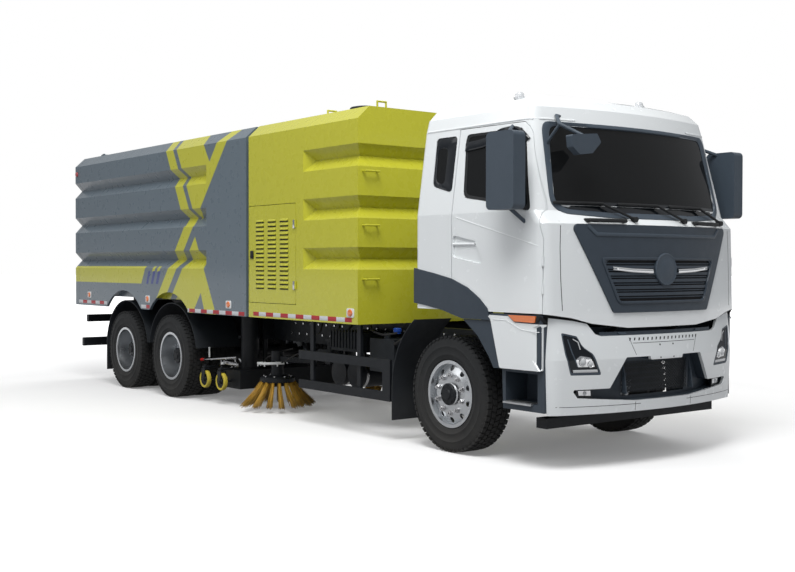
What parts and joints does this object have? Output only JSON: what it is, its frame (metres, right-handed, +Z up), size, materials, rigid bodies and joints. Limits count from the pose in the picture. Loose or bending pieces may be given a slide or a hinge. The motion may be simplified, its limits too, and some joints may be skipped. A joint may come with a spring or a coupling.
{
  "type": "street sweeper truck",
  "caption": "Three-axle street sweeper truck with tilting cab, engine box, tipping hopper, side brooms and suction nozzle.",
  "frame": {"origin": "on the ground under the middle of the vehicle's bounding box", "axes": "+X forwards to the bumper, +Y to the vehicle's left, +Z up"},
  "size_m": [9.8398, 2.98, 3.2956],
  "materials": {
    "white_paint": "gloss",
    "yellow_paint": "gloss",
    "grey_paint": "satin",
    "chassis_black": "satin",
    "dark_plastic": "matt",
    "tyre_rubber": "matt",
    "rim_silver": "satin",
    "cast_steel": "rough",
    "bright_steel": "satin",
    "dark_glass": "gloss",
    "lamp_glass": "gloss",
    "seat_cloth": "matt",
    "bristles": "matt",
    "caster_tyre": "matt"
  },
  "bodies": {
    "chassis": {"chassis_frame": "chassis_black", "axles": "cast_steel", "engine_block": "cast_steel", "engine_box": "yellow_paint", "auxiliary_engine": "cast_steel", "rear_bars": "chassis_black", "mudguards": "dark_plastic", "side_guards": "chassis_black", "air_tanks": "chassis_black", "side_boxes": "dark_plastic", "bumper": "white_paint", "under_beam": "chassis_black", "headlamps": "lamp_glass", "lower_grille": "dark_plastic", "step_boxes": "dark_plastic"},
    "cab": {"cab_shell": "white_paint", "cab_glass": "dark_glass", "grille_panel": "dark_plastic", "seats": "seat_cloth", "dashboard": "dark_plastic", "arch_trims": "dark_plastic", "grab_handles": "dark_plastic", "wipers": "dark_plastic", "front_mirror": "dark_plastic"},
    "hopper": {"hopper": "grey_paint"},
    "tailgate": {"tailgate": "grey_paint"},
    "lift_barrels": {"lift_barrels": "cast_steel"},
    "lift_rods": {"lift_rods": "bright_steel"},
    "nozzle": {"suction_nozzle": "dark_plastic"},
    "nozzle_wheels_front": {"nozzle_wheels_front": "caster_tyre"},
    "nozzle_wheels_rear": {"nozzle_wheels_rear": "caster_tyre"},
    "knuckle_right": {"knuckle_right": "cast_steel"},
    "wheel_front_right": {"tyre_front_right": "tyre_rubber", "rim_front_right": "rim_silver"},
    "wheels_axle2_right": {"tyres_axle2_right": "tyre_rubber", "rims_axle2_right": "rim_silver"},
    "wheels_axle3_right": {"tyres_axle3_right": "tyre_rubber", "rims_axle3_right": "rim_silver"},
    "door_right": {"door_right": "white_paint", "door_glass_right": "dark_glass", "mirror_right": "dark_plastic"},
    "louvre_door_right": {"louvre_door_right": "yellow_paint"},
    "broom_post_right": {"broom_post_right": "chassis_black"},
    "broom_arm_right": {"broom_arm_right": "chassis_black"},
    "broom_right": {"broom_right": "bristles"},
    "knuckle_left": {"knuckle_left": "cast_steel"},
    "wheel_front_left": {"tyre_front_left": "tyre_rubber", "rim_front_left": "rim_silver"},
    "wheels_axle2_left": {"tyres_axle2_left": "tyre_rubber", "rims_axle2_left": "rim_silver"},
    "wheels_axle3_left": {"tyres_axle3_left": "tyre_rubber", "rims_axle3_left": "rim_silver"},
    "door_left": {"door_left": "white_paint", "door_glass_left": "dark_glass", "mirror_left": "dark_plastic"},
    "louvre_door_left": {"louvre_door_left": "yellow_paint"},
    "broom_post_left": {"broom_post_left": "chassis_black"},
    "broom_arm_left": {"broom_arm_left": "chassis_black"},
    "broom_left": {"broom_left": "bristles"}
  },
  "joints": [
    {"name": "steering_right", "type": "hinge", "parent": "chassis", "child": "knuckle_right", "pos_m": [3.44, -0.84, 0.52], "axis": [0, 0, 1], "range_deg": [-35, 35]},
    {"name": "wheel_front_spin_right", "type": "hinge", "parent": "knuckle_right", "child": "wheel_front_right", "pos_m": [3.44, -1.03, 0.52], "axis": [0, 1, 0], "continuous": true},
    {"name": "wheels_axle2_spin_right", "type": "hinge", "parent": "chassis", "child": "wheels_axle2_right", "pos_m": [-1.91, -0.925, 0.52], "axis": [0, 1, 0], "continuous": true},
    {"name": "wheels_axle3_spin_right", "type": "hinge", "parent": "chassis", "child": "wheels_axle3_right", "pos_m": [-3.26, -0.925, 0.52], "axis": [0, 1, 0], "continuous": true},
    {"name": "door_hinge_right", "type": "hinge", "parent": "cab", "child": "door_right", "pos_m": [4.659, -1.225, 1.6], "axis": [0, 0, 1], "range_deg": [0, 70]},
    {"name": "louvre_hinge_right", "type": "hinge", "parent": "chassis", "child": "louvre_door_right", "pos_m": [1.056, -1.2587, 1.8], "axis": [0, 0, 1], "range_deg": [0, 100]},
    {"name": "broom_swing_right", "type": "hinge", "parent": "chassis", "child": "broom_post_right", "pos_m": [0.7, -0.56, 0.7], "axis": [0, 0, 1], "range_deg": [0, 40]},
    {"name": "broom_lift_right", "type": "hinge", "parent": "broom_post_right", "child": "broom_arm_right", "pos_m": [0.58732, -0.60126, 0.704], "axis": [-0.3439, 0.939, 0], "range_deg": [0, 10]},
    {"name": "broom_spin_right", "type": "hinge", "parent": "broom_arm_right", "child": "broom_right", "pos_m": [-0.01, -0.82, 0.4], "axis": [0, 0, 1], "continuous": true},
    {"name": "steering_left", "type": "hinge", "parent": "chassis", "child": "knuckle_left", "pos_m": [3.44, 0.84, 0.52], "axis": [0, 0, 1], "range_deg": [-35, 35]},
    {"name": "wheel_front_spin_left", "type": "hinge", "parent": "knuckle_left", "child": "wheel_front_left", "pos_m": [3.44, 1.03, 0.52], "axis": [0, 1, 0], "continuous": true},
    {"name": "wheels_axle2_spin_left", "type": "hinge", "parent": "chassis", "child": "wheels_axle2_left", "pos_m": [-1.91, 0.925, 0.52], "axis": [0, 1, 0], "continuous": true},
    {"name": "wheels_axle3_spin_left", "type": "hinge", "parent": "chassis", "child": "wheels_axle3_left", "pos_m": [-3.26, 0.925, 0.52], "axis": [0, 1, 0], "continuous": true},
    {"name": "door_hinge_left", "type": "hinge", "parent": "cab", "child": "door_left", "pos_m": [4.659, 1.225, 1.6], "axis": [0, 0, -1], "range_deg": [0, 70]},
    {"name": "louvre_hinge_left", "type": "hinge", "parent": "chassis", "child": "louvre_door_left", "pos_m": [1.056, 1.2587, 1.8], "axis": [0, 0, -1], "range_deg": [0, 100]},
    {"name": "broom_swing_left", "type": "hinge", "parent": "chassis", "child": "broom_post_left", "pos_m": [0.7, 0.56, 0.7], "axis": [0, 0, -1], "range_deg": [0, 40]},
    {"name": "broom_lift_left", "type": "hinge", "parent": "broom_post_left", "child": "broom_arm_left", "pos_m": [0.58732, 0.60126, 0.704], "axis": [0.3439, 0.939, 0], "range_deg": [0, 10]},
    {"name": "broom_spin_left", "type": "hinge", "parent": "broom_arm_left", "child": "broom_left", "pos_m": [-0.01, 0.82, 0.4], "axis": [0, 0, 1], "continuous": true},
    {"name": "cab_tilt", "type": "hinge", "parent": "chassis", "child": "cab", "pos_m": [4.82, 0, 1.24], "axis": [0, 1, 0], "range_deg": [0, 50]},
    {"name": "hopper_tip", "type": "hinge", "parent": "chassis", "child": "hopper", "pos_m": [-4.69, 0, 1.14], "axis": [0, -1, 0], "range_deg": [0, 45]},
    {"name": "tailgate_hinge", "type": "hinge", "parent": "hopper", "child": "tailgate", "pos_m": [-4.745, 0, 3.26], "axis": [0, 1, 0], "range_deg": [0, 85]},
    {"name": "lift_swing", "type": "hinge", "parent": "chassis", "child": "lift_barrels", "pos_m": [-3.9, 0, 0.9], "axis": [0, -1, 0], "range_deg": [0, 56.1]},
    {"name": "lift_extend", "type": "slide", "parent": "lift_barrels", "child": "lift_rods", "axis": [0.9905, 0, 0.1376], "range_m": [0, 0.509]},
    {"name": "nozzle_lower", "type": "slide", "parent": "chassis", "child": "nozzle", "axis": [0, 0, 1], "range_m": [-0.17, 0]},
    {"name": "nozzle_wheels_front_spin", "type": "hinge", "parent": "nozzle", "child": "nozzle_wheels_front", "pos_m": [-0.78, 0, 0.285], "axis": [0, 1, 0], "continuous": true},
    {"name": "nozzle_wheels_rear_spin", "type": "hinge", "parent": "nozzle", "child": "nozzle_wheels_rear", "pos_m": [-1.18, 0, 0.285], "axis": [0, 1, 0], "continuous": true}
  ],
  "couplings": [
    {"joint": "steering_left", "follows": "steering_right", "ratio": 1},
    {"joint": "lift_swing", "follows": "hopper_tip", "ratio": 1.2364},
    {"joint": "lift_extend", "follows": "hopper_tip", "m_per_rad": 0.64215}
  ]
}
